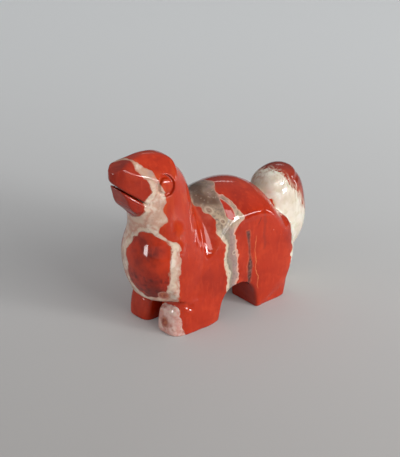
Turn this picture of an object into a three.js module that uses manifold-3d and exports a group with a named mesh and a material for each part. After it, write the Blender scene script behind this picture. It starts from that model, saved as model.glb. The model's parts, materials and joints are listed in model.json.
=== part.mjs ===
// A small dinosaur carved from one block of brecciated jasper: red jasper fragments that
// veins of quartz and chalcedony cement together. Each mineral body is its own solid.
// Head towards -X, left flank towards -Y, +Z up, soles on z = 0, millimetres.
import * as THREE from "three";
import { mergeVertices } from "three/addons/utils/BufferGeometryUtils.js";
import Module from "manifold-3d";

const wasm = await Module();
wasm.setup();

// Driving dimensions.
const seam = 0.3; // clearance between two neighbouring mineral bodies
const sides = 32; // points round each section of a limb
const capRings = 4; // sections in each rounded end
const spanSteps = 2; // points that a smooth outline gets for each hand-set one
const archSteps = 18; // spans round the arch
const eyeSides = 28; // points round an eye ring
const chipDetail = 2; // how often the faces of a chip are divided
const beyond = 60; // how far a cutter reaches when it passes right through

// A limb is a row of sections along a spine: the spine's x and z, then the section's half
// depth across the spine, its half width along Y and its squareness, where 2 is an ellipse.
// The spine is measured from the limb's own x and z, where it has them.
const torso = {
  sections: [
    [-9.4, 5.2, 10.0, 8.8, 2.8],
    [-6.6, 7.2, 12.7, 9.0, 2.4],
    [-2.0, 9.2, 16.1, 9.6, 2.1],
    [3.0, 10.0, 16.9, 11.4, 2.0],
    [8.0, 9.5, 15.5, 12.6, 2.0],
    [12.0, 8.3, 10.7, 11.6, 2.1],
    [15.2, 7.0, 7.5, 9.4, 2.3],
  ],
  startCap: 2.4,
  endCap: 2.6,
  rings: 20,
};
const neck = {
  sections: [
    [-10.6, 9.3, 5.2, 6.4, 2.2],
    [-11.1, 12.2, 7.0, 7.8, 2.2],
    [-11.3, 16.5, 7.1, 8.3, 2.2],
    [-11.3, 21.5, 6.1, 7.2, 2.1],
    [-11.6, 26.2, 6.5, 6.0, 2.1],
    [-12.3, 30.0, 6.1, 5.3, 2.1],
    [-13.8, 33.2, 4.9, 4.8, 2.1],
  ],
  startCap: 2.4,
  endCap: 4.1,
  rings: 22,
};
const head = {
  sections: [
    [-12.6, 31.4, 6.2, 5.1, 2.1],
    [-15.2, 32.2, 6.4, 5.1, 2.1],
    [-18.4, 32.9, 5.8, 4.8, 2.2],
    [-21.4, 33.8, 4.4, 4.6, 2.4],
    [-24.0, 34.4, 3.6, 3.8, 2.6],
  ],
  startCap: 3.0,
  endCap: 0.7,
  rings: 14,
};
const tailX = 20.0; // middle of the tail, which its sections and minerals are measured from
const tailZ = 12.5;
const tail = {
  sections: [
    [-1.4, -8.7, 3.2, 2.6, 2.2],
    [-0.8, -4.5, 5.0, 3.8, 2.2],
    [0.4, 0.0, 6.2, 4.7, 2.2],
    [0.1, 4.5, 6.2, 4.9, 2.2],
    [-0.5, 7.8, 5.9, 4.6, 2.2],
    [-0.9, 9.6, 5.1, 4.0, 2.2],
  ],
  x: tailX,
  z: tailZ,
  startCap: 2.2,
  endCap: 3.1,
  rings: 16,
};
const forefoot = {
  sections: [
    [-7.9, -2.0, 6.0, 3.6, 3.4],
    [-7.9, 1.0, 6.3, 3.7, 3.4],
    [-7.7, 4.0, 6.0, 3.7, 3.2],
    [-7.2, 6.0, 5.2, 3.5, 3.0],
  ],
  y: 4.4,
  startCap: 1.0,
  endCap: 1.6,
  rings: 6,
};
const haunch = {
  sections: [
    [10.4, -2.0, 4.8, 3.4, 6],
    [10.5, 1.0, 5.0, 3.5, 6],
    [11.1, 5.0, 5.6, 3.7, 4],
    [12.0, 9.5, 6.1, 3.9, 3],
    [12.6, 14.4, 5.6, 3.9, 3],
  ],
  y: 5.0,
  startCap: 1.0,
  endCap: 4.2,
  rings: 8,
};

// Both sides of the trunk are ground to a plane, which opens a little towards the rear.
const groundY = 8.35; // half the width between the planes at x = 0
const groundDegrees = 2.0;

// The cheeks are ground flat: the head's outline from above as [x, half width], and from the
// side along the crown, the nose and the chin as [x, z].
const cheekLine = [
  [-10.4, 6.6],
  [-12.4, 5.0],
  [-14.7, 4.25],
  [-17.4, 3.75],
  [-19.8, 3.1],
  [-21.8, 2.3],
  [-23.0, 1.6],
];
const noseX = -23.5;
const crownLine = [
  [-8.4, 34.8],
  [-11.0, 37.1],
  [-13.6, 38.4],
  [-16.4, 38.7],
  [-19.4, 38.2],
  [-22.4, 37.2],
];
const noseLine = [
  [-23.1, 36.7],
  [-23.4, 35.9],
  [-23.3, 33.8],
  [-22.9, 33.0],
  [-22.6, 31.6],
];
const chinLine = [
  [-22.2, 30.1],
  [-20.4, 28.3],
  [-19.1, 27.1],
];
const throat = [-16.0, 21.4]; // the chin line runs down to here, inside the neck
const headBackX = -6.0; // and the head is shaped this far back

// The opening under the belly and the gaps between the left and right feet.
const archX = 2.25;
const archWidth = 9.3;
const archHeight = 6.9;
const archSquareness = 2.5;
const legGapY = 0.2; // middle of the gaps, a little right of the carving's own
const legGap = 2.2;
const foreGapHeight = 7.0;
const hindGapHeight = 6.0;
const hindGapBackX = 18.0;

// The mouth is a fine saw cut that rises towards the nose and opens wider at the lips.
const mouthCornerX = -17.4;
const mouthCornerZ = 29.4;
const mouthDegrees = 39.0;
const mouthCornerGap = 0.3;
const mouthLipX = -21.4; // the cut opens from here
const mouthFrontGap = 1.5;
const mouthLength = 8.0; // from the corner to where the front gap is measured

// Each eye is a ring cut by a core drill.
const eyeX = -14.0;
const eyeZ = 32.7;
const eyeDiameter = 4.3;
const eyeGroove = 0.55;
const eyeFloorY = 4.3; // the ring is cut down to here
const eyeReach = 3.0; // the drill starts this far outside it
const eyeDegrees = 7.0; // and is held square to the cheek, which narrows towards the nose

// Outlines of the mineral bodies, as [x, z] on the left flank unless noted.
const faceFront = [
  [-25.0, 37.2],
  [-22.4, 37.3],
  [-20.4, 37.4],
  [-19.3, 36.9],
  [-18.3, 35.6],
  [-17.3, 33.8],
  [-17.1, 32.4],
  [-17.6, 31.3],
  [-18.2, 30.4],
  [-18.2, 28.8],
  [-18.0, 27.4],
  [-18.6, 25.4],
];
const faceBack = [
  [-23.6, 41.0],
  [-21.6, 39.2],
  [-20.0, 38.4],
  [-18.3, 37.8],
  [-16.6, 36.9],
  [-15.3, 35.0],
  [-14.8, 33.4],
  [-14.4, 32.2],
  [-14.8, 31.2],
  [-14.5, 29.0],
  [-15.0, 27.9],
  [-14.1, 26.2],
  [-14.8, 24.6],
  [-15.3, 23.7],
  [-14.1, 22.6],
  [-12.6, 21.4],
  [-12.1, 18.4],
  [-12.9, 16.0],
  [-12.9, 11.0],
  [-13.2, 8.6],
  [-13.2, 6.9],
];
const chestVeinFarY = 5.4; // the ring round the chest fragment ends here on the right
const chestVeinTopZ = 24.2;
const chestOutline = [ // seen from the front, as [y, z]
  [-2.0, 23.2],
  [-5.0, 21.5],
  [-6.6, 20.0],
  [-7.1, 17.6],
  [-7.1, 13.6],
  [-6.6, 11.4],
  [-5.6, 9.9],
  [-4.2, 9.0],
  [-2.9, 9.4],
  [-0.6, 10.3],
  [0.8, 11.5],
  [1.9, 13.4],
  [2.4, 15.8],
  [1.6, 18.6],
  [-0.4, 21.5],
];
const chestInnerX = -14.4;
const chestChip = { x: -15.0, y: -5.4, z: 9.7, radius: 1.0 };

const toeX = -11.7; // where the quartz of the left toe meets the red foot
const toeTopZ = 6.2;
const toeLean = 1.1; // how much further forward the two meet at the quartz's top
const toeChip = { x: -13.9, y: -4.3, z: 2.5, radius: 1.15 };

const flankY = -8; // the flank plane that the outlines are drawn on
const saddleDegrees = 16.7; // the saddle vein leans back by this towards the right flank
const saddleFront = [
  [-6.6, 30.0],
  [-6.3, 25.4],
  [-5.0, 24.7],
  [-4.1, 24.1],
  [-4.2, 23.5],
  [-3.7, 22.9],
  [-2.8, 22.0],
  [-2.6, 21.0],
  [-2.8, 19.8],
  [-2.5, 18.4],
  [-1.8, 17.0],
  [-1.6, 13.3],
  [-1.0, 10.2],
  [-0.7, 7.5],
  [-0.6, 5.0],
  [-0.6, -2.0],
];
const saddleBack = [
  [0.6, -2.0],
  [1.6, 5.0],
  [2.6, 8.9],
  [2.1, 11.5],
  [2.2, 13.0],
  [1.8, 16.0],
  [1.6, 19.2],
  [2.8, 20.6],
  [3.9, 21.2],
  [3.8, 22.0],
  [3.2, 22.9],
  [2.3, 24.1],
  [1.1, 25.2],
  [0.1, 25.8],
  [-0.9, 26.2],
  [0.2, 27.2],
  [0.9, 30.0],
];
const lensOutline = [
  [-0.7, 25.2],
  [-0.1, 25.0],
  [0.5, 24.4],
  [1.0, 23.5],
  [1.5, 22.7],
  [1.5, 22.0],
  [0.9, 21.8],
  [0.2, 22.2],
  [-0.2, 23.1],
  [-0.5, 24.0],
];
const lensDepth = 4.5;

const flankVeinLine = [
  [4.5, 18.4],
  [4.8, 15.0],
  [5.1, 11.0],
  [4.7, 5.0],
];
const flankVeinWidth = 1.1;
const flankVeinDepth = 5.0;

const rumpLine = [ // where the pale tail meets the rump
  [12.6, 30.0],
  [13.2, 23.4],
  [14.4, 20.4],
  [16.2, 17.4],
  [16.7, 13.0],
  [16.2, 7.0],
  [15.6, -2.0],
];
const tipLine = [ // where the tail's red tip begins, measured from tailX and tailZ
  [-12.0, 9.1],
  [-5.4, 10.0],
  [-4.0, 10.7],
  [-2.8, 11.2],
  [-1.8, 11.4],
  [-1.1, 11.1],
  [-0.2, 10.3],
  [0.4, 9.5],
  [0.9, 8.5],
  [2.2, 6.4],
  [3.2, 4.9],
  [9.0, -1.9],
];

const slope = (degrees) => Math.tan(THREE.MathUtils.degToRad(degrees));
const power = (value, squareness) => Math.sign(value) * Math.abs(value) ** (2 / squareness);
const flat = ([a, b]) => new THREE.Vector2(a, b);

function solid(geometry) {
  const bare = geometry.clone().deleteAttribute("normal").deleteAttribute("uv");
  const merged = mergeVertices(bare, 1e-4);
  const vertProperties = merged.attributes.position.array;
  const triVerts = new Uint32Array(merged.index.array);
  return new wasm.Manifold(new wasm.Mesh({ numProp: 3, vertProperties, triVerts }));
}

// One section: a squared ellipse across the spine at t, moved along the spine by shift.
function section(spine, size, t, shift, scale, y) {
  const middle = spine.getPoint(t);
  const along = spine.getTangent(t);
  const across = new THREE.Vector3(-along.z, 0, along.x);
  const { x: deep, y: wide, z: squareness } = size.getPoint(t);
  const points = [];
  for (let i = 0; i < sides; i++) {
    const angle = (2 * Math.PI * i) / sides;
    const point = middle.clone().addScaledVector(along, shift);
    point.addScaledVector(across, deep * scale * power(Math.cos(angle), squareness));
    point.y = y + wide * scale * power(Math.sin(angle), squareness);
    points.push(point);
  }
  return points;
}

// A limb: its sections along the spine, closed by a rounded cap at either end.
function limb({ sections, startCap, endCap, rings, x = 0, y = 0, z = 0 }) {
  const through = (points) => new THREE.CatmullRomCurve3(points, false, "catmullrom", 0.5);
  const spine = through(sections.map(([dx, dz]) => new THREE.Vector3(x + dx, 0, z + dz)));
  const size = through(sections.map(([, , deep, wide, n]) => new THREE.Vector3(deep, wide, n)));
  const loops = [];
  for (let k = capRings; k > 0; k--) {
    const angle = (Math.PI / 2) * (k / (capRings + 0.5));
    loops.push(section(spine, size, 0, -startCap * Math.sin(angle), Math.cos(angle), y));
  }
  for (let k = 0; k <= rings; k++) {
    loops.push(section(spine, size, k / rings, 0, 1, y));
  }
  for (let k = 1; k <= capRings; k++) {
    const angle = (Math.PI / 2) * (k / (capRings + 0.5));
    loops.push(section(spine, size, 1, endCap * Math.sin(angle), Math.cos(angle), y));
  }
  const first = spine.getPoint(0).addScaledVector(spine.getTangent(0), -startCap).setY(y);
  const last = spine.getPoint(1).addScaledVector(spine.getTangent(1), endCap).setY(y);
  const index = [];
  const end = (loops.length - 1) * sides;
  const pole = loops.length * sides;
  for (let i = 0; i < sides; i++) {
    const j = (i + 1) % sides;
    for (let row = 0; row < end; row += sides) {
      index.push(row + i, row + sides + j, row + j);
      index.push(row + i, row + sides + i, row + sides + j);
    }
    index.push(pole, i, j);
    index.push(pole + 1, end + j, end + i);
  }
  const geometry = new THREE.BufferGeometry().setFromPoints([...loops.flat(), first, last]);
  geometry.setIndex(index);
  return solid(geometry);
}

// Outlines: a smooth open line or a smooth loop through hand-set points.
function smooth(points) {
  return new THREE.SplineCurve(points.map(flat)).getPoints((points.length - 1) * spanSteps);
}

function smoothLoop(points) {
  const spread = points.map(([a, b]) => new THREE.Vector3(a, b, 0));
  const loop = new THREE.CatmullRomCurve3(spread, true, "catmullrom", 0.5);
  return loop.getPoints(points.length * spanSteps).slice(0, -1);
}

// An open line closed far out along X, ahead of the stone or behind it.
function closeAt(line, x) {
  return [...line, new THREE.Vector2(x, line.at(-1).y), new THREE.Vector2(x, line[0].y)];
}

// An outline moved outwards by a distance, or inwards by a negative one.
function swell(outline, distance) {
  const outwards = THREE.ShapeUtils.isClockWise(outline) ? -distance : distance;
  return outline.map((point, i) => {
    const before = outline.at(i - 1);
    const after = outline[(i + 1) % outline.length];
    const along = new THREE.Vector2(after.x - before.x, after.y - before.y).normalize();
    return new THREE.Vector2(point.x + along.y * outwards, point.y - along.x * outwards);
  });
}

// Cutters: outlines drawn from the side, from the front and from above, blocks and balls.
function extrude(outline, depth) {
  return new THREE.ExtrudeGeometry(new THREE.Shape(outline), { depth, bevelEnabled: false });
}

function fromSide(outline, nearY = -beyond, farY = beyond, slant = 0) {
  const geometry = extrude(outline, farY - nearY).rotateX(Math.PI / 2);
  geometry.translate(0, farY - flankY, 0);
  geometry.applyMatrix4(new THREE.Matrix4().makeShear(0, 0, slant, 0, 0, 0));
  return solid(geometry.translate(0, flankY, 0));
}

function fromFront(outline, frontX, backX) {
  const geometry = extrude(outline, backX - frontX).rotateX(Math.PI / 2).rotateZ(Math.PI / 2);
  return solid(geometry.translate(frontX, 0, 0));
}

function fromAbove(outline, bottomZ, topZ) {
  return solid(extrude(outline, topZ - bottomZ).translate(0, 0, bottomZ));
}

function block(x0, x1, y0, y1, z0, z1) {
  const geometry = new THREE.BoxGeometry(x1 - x0, y1 - y0, z1 - z0);
  return solid(geometry.translate((x0 + x1) / 2, (y0 + y1) / 2, (z0 + z1) / 2));
}

const ball = ({ x, y, z, radius }, grow) =>
  solid(new THREE.IcosahedronGeometry(radius + grow, chipDetail).translate(x, y, z));

// The head: a tapering limb ground flat at both cheeks and shaped to its profile.
function carveHead() {
  const left = smooth(cheekLine);
  const right = left.map(({ x, y }) => new THREE.Vector2(x, -y)).reverse();
  const plan = closeAt([...left, new THREE.Vector2(noseX, 0), ...right], headBackX);
  const behind = [throat, [headBackX, throat[1]], [headBackX, crownLine[0][1]]].map(flat);
  const profile = [...smooth(crownLine), ...noseLine.map(flat), ...smooth(chinLine), ...behind];
  return limb(head).intersect(fromAbove(plan, 0, beyond)).intersect(fromSide(profile));
}

function archCutter() {
  const outline = [
    new THREE.Vector2(archX - archWidth / 2, -beyond),
    new THREE.Vector2(archX + archWidth / 2, -beyond),
  ];
  for (let k = 0; k <= archSteps; k++) {
    const angle = (Math.PI * k) / archSteps;
    const x = archX + (archWidth / 2) * power(Math.cos(angle), archSquareness);
    outline.push(new THREE.Vector2(x, archHeight * power(Math.sin(angle), archSquareness)));
  }
  return fromSide(outline);
}

// The mouth line's height at x.
const mouthZ = (x) => mouthCornerZ + (mouthCornerX - x) * slope(mouthDegrees);

function mouthCutter() {
  const stations = [
    [mouthCornerX, mouthCornerGap],
    [mouthLipX, mouthCornerGap],
    [mouthCornerX - mouthLength, mouthFrontGap],
  ];
  const upper = stations.map(([x, gap]) => new THREE.Vector2(x, mouthZ(x) + gap / 2));
  const lower = stations.map(([x, gap]) => new THREE.Vector2(x, mouthZ(x) - gap / 2));
  return fromSide([...upper, ...lower.reverse()]);
}

// The ring round the right eye for a side of 1 and round the left eye for -1.
function eyeCutter(side) {
  const outer = eyeDiameter / 2;
  const inner = outer - eyeGroove;
  const profile = [
    [inner, 0],
    [outer, 0],
    [outer, eyeReach],
    [inner, eyeReach],
    [inner, 0],
  ];
  const ring = new THREE.LatheGeometry(profile.map(flat), eyeSides);
  ring.rotateX(side < 0 ? Math.PI : 0).rotateZ(side * THREE.MathUtils.degToRad(eyeDegrees));
  return solid(ring.translate(eyeX, side * eyeFloorY, eyeZ));
}

function carveTrunk() {
  const spread = beyond * slope(groundDegrees);
  const plan = [
    [-beyond, spread - groundY],
    [beyond, -spread - groundY],
    [beyond, groundY + spread],
    [-beyond, groundY - spread],
  ];
  return limb(torso).intersect(fromAbove(plan.map(flat), -beyond, beyond));
}

function carveStone() {
  const legs = [forefoot, haunch].flatMap((leg) => [limb(leg), limb({ ...leg, y: -leg.y })]);
  const lower = legs.reduce((whole, leg) => whole.add(leg), carveTrunk());
  const left = legGapY - legGap / 2;
  const right = legGapY + legGap / 2;
  const cuts = [
    archCutter(),
    block(-beyond, archX, left, right, -beyond, foreGapHeight),
    block(archX, hindGapBackX, left, right, -beyond, hindGapHeight),
  ];
  const opened = cuts.reduce((whole, cut) => whole.subtract(cut), lower);
  const whole = opened.add(limb(neck)).add(carveHead()).add(limb(tail));
  const under = block(-beyond, beyond, -beyond, beyond, -beyond, 0);
  const finish = [under, mouthCutter(), eyeCutter(1), eyeCutter(-1)];
  return finish.reduce((stone, cut) => stone.subtract(cut), whole);
}

// Zones of the mineral bodies, each grown outwards by a distance.
const jawsZone = (grow) => fromSide(swell(closeAt(smooth(faceFront), -beyond), grow));

function frontZone(grow) {
  const ahead = fromSide(swell(closeAt(smooth(faceBack), -beyond), grow));
  const farY = chestVeinFarY + grow;
  return ahead.subtract(block(-beyond, beyond, farY, beyond, -beyond, chestVeinTopZ - grow));
}

function chestZone(grow) {
  return fromFront(swell(smoothLoop(chestOutline), grow), -beyond, chestInnerX + grow);
}

function toeZone(grow) {
  const outline = [
    [-beyond, -beyond],
    [toeX + grow, -beyond],
    [toeX + grow, 0],
    [toeX - toeLean + grow, toeTopZ + grow],
    [-beyond, toeTopZ + grow],
  ];
  return fromSide(outline.map(flat), -beyond, 0);
}

function saddleZone(grow) {
  const outline = [...smooth(saddleFront), ...smooth(saddleBack)];
  return fromSide(swell(outline, grow), -beyond, beyond, slope(saddleDegrees));
}

function rearZone(grow) {
  const outline = closeAt(smooth(saddleBack), beyond);
  return fromSide(swell(outline, grow), -beyond, beyond, slope(saddleDegrees));
}

function lensZone(grow) {
  const farY = flankY + lensDepth + grow;
  return fromSide(swell(smoothLoop(lensOutline), grow), -beyond, farY, slope(saddleDegrees));
}

function flankVeinZone(grow) {
  const half = flankVeinWidth / 2;
  const side = (offset) => smooth(flankVeinLine).map(({ x, y }) => new THREE.Vector2(x + offset, y));
  const outline = [...side(-half), ...side(half).reverse()];
  return fromSide(swell(outline, grow), -beyond, flankY + flankVeinDepth + grow);
}

const tailZone = (grow) => fromSide(swell(closeAt(smooth(rumpLine), beyond), grow));

function tipZone(grow) {
  const line = smooth(tipLine.map(([x, z]) => [tailX + x, tailZ + z]));
  const above = [new THREE.Vector2(line.at(-1).x, beyond), new THREE.Vector2(line[0].x, beyond)];
  return fromSide(swell([...line, ...above], grow));
}

// A mineral body: the part of a block inside one zone and outside its neighbours' zones.
function mineral(source, inside, outside) {
  const kept = inside.reduce((rest, zone) => rest.intersect(zone(-seam / 2)), source);
  const cut = outside.reduce((rest, zone) => rest.subtract(zone(seam / 2)), kept);
  const [largest] = cut.decompose().sort((a, b) => b.volume() - a.volume());
  return largest;
}

const aboveMouth = () =>
  fromSide([
    new THREE.Vector2(beyond, mouthZ(beyond)),
    new THREE.Vector2(beyond, mouthZ(-beyond)),
    new THREE.Vector2(-beyond, mouthZ(-beyond)),
  ]);

const chestChipZone = (grow) => ball(chestChip, grow);
const toeChipZone = (grow) => ball(toeChip, grow);

const stone = carveStone();
const pieces = [
  {
    name: "neck_and_shoulder_jasper",
    color: 0xad3f27,
    body: mineral(stone, [], [frontZone, toeZone, saddleZone, rearZone]),
  },
  { name: "snout_jasper", color: 0xa4412e, body: mineral(stone, [jawsZone, aboveMouth], []) },
  { name: "lower_jaw_jasper", color: 0x99331f, body: mineral(stone, [jawsZone], [aboveMouth]) },
  {
    name: "face_and_chest_vein",
    color: 0xcea692,
    body: mineral(stone, [frontZone], [jawsZone, chestZone, chestChipZone]),
  },
  {
    name: "chest_jasper",
    color: 0x963a28,
    body: mineral(stone, [frontZone, chestZone], [chestChipZone]),
  },
  { name: "chest_chip", color: 0x96503c, body: mineral(stone, [frontZone, chestChipZone], []) },
  { name: "toe_quartz", color: 0xbb857b, body: mineral(stone, [toeZone], [frontZone, toeChipZone]) },
  { name: "toe_chip", color: 0x935347, body: mineral(stone, [toeZone, toeChipZone], [frontZone]) },
  { name: "saddle_vein", color: 0x9a8070, body: mineral(stone, [saddleZone], [frontZone, lensZone]) },
  {
    name: "saddle_lens_jasper",
    color: 0xb5402c,
    body: mineral(stone, [saddleZone, lensZone], [frontZone]),
  },
  { name: "flank_vein", color: 0x8a4031, body: mineral(stone, [rearZone, flankVeinZone], []) },
  {
    name: "hindquarter_jasper",
    color: 0xb03b24,
    body: mineral(stone, [rearZone], [flankVeinZone, tailZone]),
  },
  { name: "tail_vein", color: 0xdfd8c5, body: mineral(stone, [rearZone, tailZone], [tipZone]) },
  { name: "tail_tip_jasper", color: 0xa14a3a, body: mineral(stone, [rearZone, tailZone, tipZone], []) },
];

function meshOf({ name, color, body }) {
  const { vertProperties, triVerts } = body.getMesh();
  const geometry = new THREE.BufferGeometry();
  geometry.setAttribute("position", new THREE.BufferAttribute(vertProperties, 3));
  geometry.setIndex(new THREE.BufferAttribute(triVerts, 1));
  geometry.computeVertexNormals();
  const material = new THREE.MeshStandardMaterial({ color, roughness: 0.12, metalness: 0 });
  const mesh = new THREE.Mesh(geometry, material);
  mesh.name = name;
  return mesh;
}

// The carving stands with the middle of its outer box over the origin.
const carving = new THREE.Group();
carving.name = "carving";
carving.add(...pieces.map(meshOf));
const extent = new THREE.Box3().setFromObject(carving);
carving.position.x = -(extent.min.x + extent.max.x) / 2;
carving.position.y = -(extent.min.y + extent.max.y) / 2;

export default carving;
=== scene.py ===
# A small dinosaur carved from one block of brecciated jasper, polished, on a pale grey sweep.
# Lengths are in millimetres while the form is worked out, and in metres in every mesh.
import json
import math

import bpy
import numpy as np
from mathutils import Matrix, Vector


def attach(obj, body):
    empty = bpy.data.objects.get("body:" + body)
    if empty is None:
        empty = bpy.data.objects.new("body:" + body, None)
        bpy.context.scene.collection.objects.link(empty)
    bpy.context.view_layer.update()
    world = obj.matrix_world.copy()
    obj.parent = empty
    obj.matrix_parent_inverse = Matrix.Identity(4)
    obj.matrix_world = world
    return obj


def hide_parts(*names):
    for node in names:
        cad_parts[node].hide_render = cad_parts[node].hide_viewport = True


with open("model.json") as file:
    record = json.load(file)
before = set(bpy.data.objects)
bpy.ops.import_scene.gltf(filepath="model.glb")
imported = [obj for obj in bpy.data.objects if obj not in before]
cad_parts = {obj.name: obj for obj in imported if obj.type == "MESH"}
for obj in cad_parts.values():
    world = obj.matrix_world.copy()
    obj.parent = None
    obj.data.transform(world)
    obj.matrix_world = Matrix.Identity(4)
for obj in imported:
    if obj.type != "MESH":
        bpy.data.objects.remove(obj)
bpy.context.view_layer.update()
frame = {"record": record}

metre = 0.001
carvingMiddleX = 1.658  # the frame puts the middle of the outer box over the origin


# The camera stands to the left of the head and looks a little down.
cameraPlace = {
    "azimuth": -41.0,
    "elevation": 27.0,
    "distance": 0.40,
    "lens": 156.3,
    "aim": ((-0.9 - carvingMiddleX) * metre, 0.0, 17.4 * metre),
}


def standCamera(place):
    camera = bpy.data.objects.new("camera", bpy.data.cameras.new("camera"))
    bpy.context.scene.collection.objects.link(camera)
    around, above = math.radians(place["azimuth"]), math.radians(place["elevation"])
    back = Vector((math.sin(around) * math.cos(above), -math.cos(around) * math.cos(above), math.sin(above)))
    camera.location = Vector(place["aim"]) + back * place["distance"]
    camera.rotation_mode = "QUATERNION"
    camera.rotation_quaternion = (-back).to_track_quat("-Z", "Y")
    camera.data.lens = place["lens"]
    camera.data.sensor_width = 36
    camera.data.clip_start = 0.01
    bpy.context.scene.camera = camera


standCamera(cameraPlace)
print("camera stands")


# The carved form. Each limb is a row of sections: x and z on its spine, half depth across
# the spine, half width along y, and squareness, where 2 is an ellipse. A cap rounds each end.
limbs = {
    "torso": {
        "sections": (
            (-9.4, 5.2, 10.0, 8.8, 2.8), (-6.6, 7.2, 12.7, 9.0, 2.4), (-2.0, 9.2, 16.1, 9.6, 2.1),
            (3.0, 10.0, 16.9, 11.4, 2.0), (8.0, 9.5, 15.5, 12.6, 2.0), (12.0, 8.3, 10.7, 11.6, 2.1),
            (15.2, 7.0, 7.5, 9.4, 2.3),
        ),
        "caps": (2.4, 2.6),
    },
    "neck": {
        "sections": (
            (-10.8, 8.9, 6.1, 6.6, 2.2), (-11.1, 12.2, 7.0, 7.8, 2.2), (-11.3, 16.5, 7.1, 8.3, 2.2),
            (-11.3, 21.5, 6.1, 7.2, 2.1), (-11.6, 26.2, 6.5, 6.0, 2.1), (-12.3, 30.0, 6.1, 5.3, 2.1),
            (-13.8, 33.2, 4.9, 4.8, 2.1),
        ),
        "caps": (2.4, 4.1),
    },
    "head": {
        "sections": (
            (-12.6, 31.4, 6.2, 5.1, 2.1), (-15.2, 32.2, 6.5, 5.1, 2.1), (-18.4, 33.0, 6.1, 4.8, 2.2),
            (-21.4, 33.9, 4.7, 4.6, 2.4), (-24.0, 34.4, 3.6, 3.8, 2.6),
        ),
        "caps": (3.0, 0.7),
    },
    "tail": {
        "sections": (
            (18.6, 3.8, 3.2, 2.6, 2.2), (19.2, 8.0, 5.0, 3.8, 2.2), (20.4, 12.5, 6.2, 4.7, 2.2),
            (20.1, 17.0, 6.2, 4.9, 2.2), (19.5, 20.3, 5.9, 4.6, 2.2), (19.1, 22.1, 5.1, 4.0, 2.2),
        ),
        "caps": (2.2, 3.1),
    },
    "forefoot": {
        "sections": (
            (-7.9, -2.0, 6.0, 3.6, 3.4), (-7.9, 1.0, 6.3, 3.7, 3.4), (-7.7, 4.0, 6.0, 3.7, 3.2),
            (-7.2, 6.0, 5.2, 3.5, 3.0),
        ),
        "caps": (1.0, 1.6),
        "side": 4.4,
    },
    "hindfoot": {
        "sections": (
            (10.4, -2.0, 4.8, 3.4, 6), (10.5, 1.0, 5.0, 3.5, 6), (11.1, 5.0, 5.6, 3.7, 4),
            (12.0, 9.5, 6.1, 3.9, 3), (12.6, 14.4, 5.6, 3.9, 3),
        ),
        "caps": (1.0, 4.2),
        "side": 5.0,
    },
}

# How softly the limbs flow into each other and how far each cut edge was rounded in polishing.
flow = {
    "flank": 1.6, "ridge": 0.9, "brow": 0.5, "feet": 2.0, "neck": 2.5, "head": 2.0, "tail": 1.0, "arch": 1.2,
    "legGap": 0.7, "notch": 0.9, "cheek": 0.3, "profile": 0.5, "lips": 0.9, "eye": 0.3, "sole": 0.5,
}

# The points that the form is worked out on.
grid = {"spacing": 0.2, "lowest": (-25.6, -10.0, -0.9), "highest": (27.8, 10.0, 40.0)}
xs, ys, zs = (
    np.arange(low, high, grid["spacing"], dtype=np.float32)
    for low, high in zip(grid["lowest"], grid["highest"])
)
far = 60.0  # a place beyond the stone on any side


def curveThrough(rows, steps):
    # A smooth curve through given rows.
    rows = np.array(rows, np.float32)
    padded = np.vstack([2 * rows[0] - rows[1], rows, 2 * rows[-1] - rows[-2]])
    along = np.linspace(0, len(rows) - 1, steps + 1)
    span = np.minimum(along.astype(int), len(rows) - 2)
    u = (along - span)[:, None]
    a, b, c, d = (padded[span + k] for k in range(4))
    return 0.5 * (2 * b + (c - a) * u + (2 * a - 5 * b + 4 * c - d) * u**2 + (3 * b - a - 3 * c + d) * u**3)


def limbField(limb, side=0.0):
    # Distance to a limb's surface at every point of the grid, negative inside.
    steps = 90  # straight pieces that stand in for the curved spine
    rows = curveThrough(limb["sections"], steps)
    x, z = xs[:, None], zs[None, :]
    nearest = np.full((len(xs), len(zs)), np.inf, np.float32)
    at = np.zeros_like(nearest)
    for k in range(steps):
        (x0, z0), (dx, dz) = rows[k, :2], rows[k + 1, :2] - rows[k, :2]
        u = np.clip(((x - x0) * dx + (z - z0) * dz) / (dx * dx + dz * dz), 0, 1)
        away = np.hypot(x - x0 - u * dx, z - z0 - u * dz)
        closer = away < nearest
        nearest[closer], at[closer] = away[closer], (k + u)[closer]
    stations = np.arange(steps + 1)
    deep, wide, square = (
        np.interp(at, stations, rows[:, k]).astype(np.float32)[:, None, :] for k in (2, 3, 4)
    )
    past = np.zeros_like(nearest)
    cap = np.ones_like(nearest)
    for end, inner, length in ((0, 1, limb["caps"][0]), (-1, -2, limb["caps"][1])):
        direction = rows[end, :2] - rows[inner, :2]
        direction /= np.linalg.norm(direction)
        reach = (x - rows[end, 0]) * direction[0] + (z - rows[end, 1]) * direction[1]
        beyondEnd = (at == (0 if end == 0 else steps)) & (reach > 0)
        past[beyondEnd], cap[beyondEnd] = reach[beyondEnd], length
    across = np.sqrt(np.maximum(nearest**2 - past**2, 0))[:, None, :]
    past, cap = past[:, None, :], cap[:, None, :]
    y = np.abs(ys[None, :, None] - side)
    share = ((across / deep) ** square + (y / wide) ** square) ** (1 / square)
    share = np.maximum(np.sqrt(share**2 + (past / cap) ** 2), 1e-3)
    radius = np.sqrt(across**2 + y**2 + past**2)
    return radius - radius / share


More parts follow.
